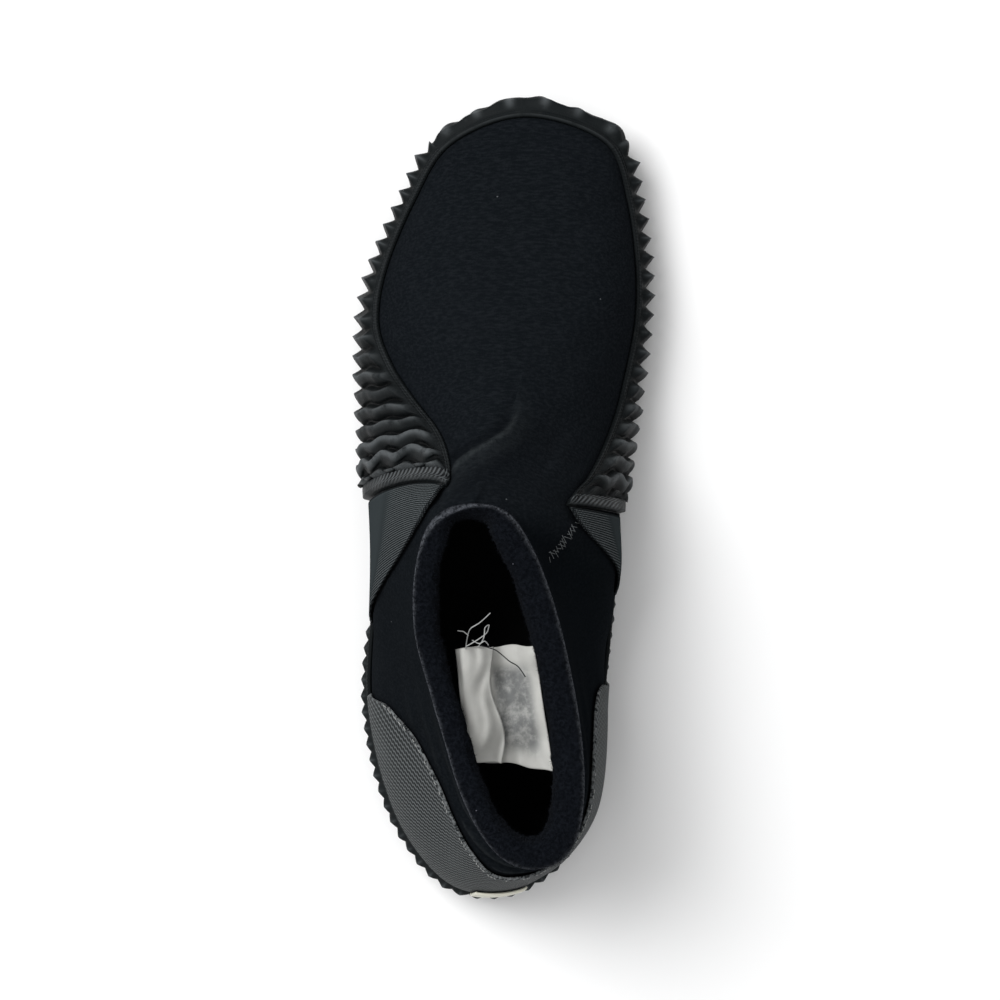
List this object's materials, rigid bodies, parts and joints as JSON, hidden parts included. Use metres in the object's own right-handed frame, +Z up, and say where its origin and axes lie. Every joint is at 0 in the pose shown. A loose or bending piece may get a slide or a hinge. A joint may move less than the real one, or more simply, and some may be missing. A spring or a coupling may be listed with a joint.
{
  "type": "water shoe",
  "caption": "Low slip-on water shoe for the left foot: neoprene bootie with a padded open collar, set in a ribbed rubber cup sole with side saddles and a heel counter.",
  "frame": {"origin": "on the floor, below the middle of the shoe", "axes": "+Y to the toe, +Z up, -X to the outer side of the foot"},
  "size_m": [0.1068, 0.28, 0.1008],
  "materials": {
    "moulded_rubber": "matt charcoal rubber, moulded in ribs",
    "footbed_foam": "black cloth over foam",
    "neoprene": "black knit-faced neoprene",
    "collar_fleece": "blue-black brushed fleece",
    "saddle_rubber": "smooth charcoal rubber with a fine twill near its upper edge",
    "counter_rubber": "grey rubberised mesh",
    "badge_rubber": "plain cream rubber"
  },
  "bodies": {
    "root": {"outsole": "moulded_rubber", "insole": "footbed_foam", "upper": "neoprene", "collar_binding": "collar_fleece", "saddle_outer": "saddle_rubber", "saddle_inner": "saddle_rubber", "heel_counter": "counter_rubber", "heel_badge": "badge_rubber"}
  },
  "joints": []
}
